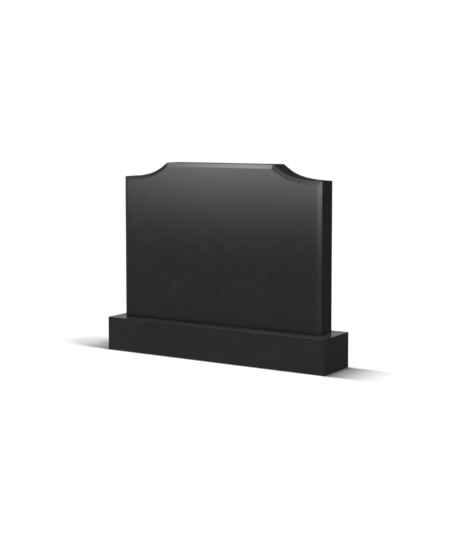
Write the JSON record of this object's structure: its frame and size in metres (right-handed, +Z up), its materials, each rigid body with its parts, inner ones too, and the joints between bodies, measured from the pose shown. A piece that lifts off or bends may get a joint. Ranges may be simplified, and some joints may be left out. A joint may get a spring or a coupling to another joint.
{
  "type": "headstone",
  "caption": "Polished black granite headstone: an upright slab with scooped shoulders and a beveled front, standing on a plain rectangular plinth.",
  "frame": {"origin": "middle of the plinth's underside, at ground level", "axes": "+X along the length, to the right of someone facing the front; -Y is the beveled front face; +Z up"},
  "size_m": [1.1, 0.215, 0.8503],
  "materials": {
    "slab_granite": "polished black granite, fine grained",
    "plinth_granite": "polished black granite, fine grained"
  },
  "bodies": {
    "root": {"plinth": "plinth_granite", "headstone_slab": "slab_granite"}
  },
  "joints": []
}
